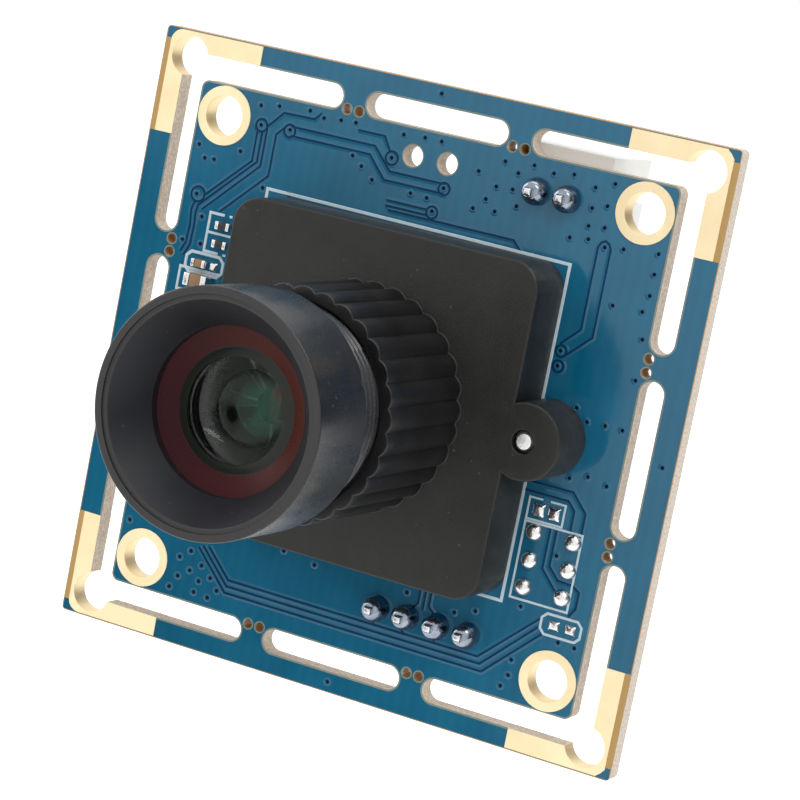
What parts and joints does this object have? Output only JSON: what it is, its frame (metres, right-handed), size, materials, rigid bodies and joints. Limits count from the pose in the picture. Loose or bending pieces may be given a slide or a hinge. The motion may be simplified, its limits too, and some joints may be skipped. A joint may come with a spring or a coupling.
{
  "type": "camera module",
  "caption": "Board camera module: a snap-off framed circuit board carries a fluted plastic holder and a focusing screw-in lens, with socket connectors behind.",
  "frame": {"origin": "middle of the four plated mounting holes, on the board's front face; the lens axis passes through it", "axes": "-Y out of the lens towards the scene, +Z towards the board's top edge, +X to the right as seen from the front"},
  "size_m": [0.038, 0.029, 0.0374],
  "materials": {
    "solder_mask": "glossy teal solder mask over glass-fibre laminate",
    "gold_plate": "pale immersion gold over copper",
    "holder_plastic": "fine-grained black moulded plastic",
    "barrel_metal": "black anodised, turned",
    "ring_metal": "black anodised, matt inside",
    "coated_glass": "coated optical glass",
    "red_shim": "dark red glossy shim",
    "spacer_metal": "black anodised, matt",
    "filter_glass": "infrared-cut coated glass",
    "sensor_ceramic": "unglazed ceramic",
    "silicon": "polished silicon",
    "screw_steel": "nickel-plated steel",
    "connector_nylon": "natural moulded nylon",
    "tinned_metal": "bright tin",
    "solder": "smooth solder",
    "chip_epoxy": "black moulding compound",
    "crystal_can": "nickel-plated lid",
    "choke_ferrite": "ferrite",
    "capacitor_ceramic": "tan ceramic",
    "resistor_black": "black glaze on white ceramic"
  },
  "bodies": {
    "board_and_holder": {"circuit_board": "solder_mask", "frame_corner_pads": "gold_plate", "mounting_hole_rings": "gold_plate", "lens_holder": "holder_plastic", "sensor_package": "sensor_ceramic", "sensor_die": "silicon", "sensor_cover_glass": "coated_glass", "holder_screws": "screw_steel", "usb_connector_housing": "connector_nylon", "usb_connector_pins": "tinned_metal", "aux_connector_housing": "connector_nylon", "aux_connector_pins": "tinned_metal", "pin_solder_joints": "solder", "header_solder_joints": "solder", "video_processor": "chip_epoxy", "video_processor_leads": "tinned_metal", "flash_chip": "chip_epoxy", "flash_chip_leads": "tinned_metal", "crystal": "crystal_can", "voltage_regulators": "chip_epoxy", "voltage_regulator_leads": "tinned_metal", "usb_choke": "choke_ferrite", "capacitor_bodies": "capacitor_ceramic", "capacitor_end_caps": "tinned_metal", "resistor_bodies": "resistor_black", "resistor_end_caps": "tinned_metal", "bare_solder_pads": "solder"},
    "glass_stack": {"front_element": "coated_glass", "front_shim": "red_shim", "front_spacer": "spacer_metal", "second_element": "coated_glass", "middle_spacer": "spacer_metal", "aperture_stop": "spacer_metal", "third_element": "coated_glass", "rear_spacer": "spacer_metal", "rear_element": "coated_glass", "infrared_filter": "filter_glass"},
    "screw_barrel": {"lens_barrel": "barrel_metal", "front_retaining_ring": "ring_metal"}
  },
  "joints": [
    {"name": "focus_travel", "type": "slide", "parent": "board_and_holder", "child": "glass_stack", "axis": [0, -1, 0], "range_m": [-0.001, 0.001]},
    {"name": "focus_turn", "type": "hinge", "parent": "glass_stack", "child": "screw_barrel", "pos_m": [0, 0, 0], "axis": [0, -1, 0], "range_deg": [-720, 720]}
  ],
  "couplings": [
    {"joint": "focus_travel", "follows": "focus_turn", "m_per_rad": 0.000079577}
  ]
}
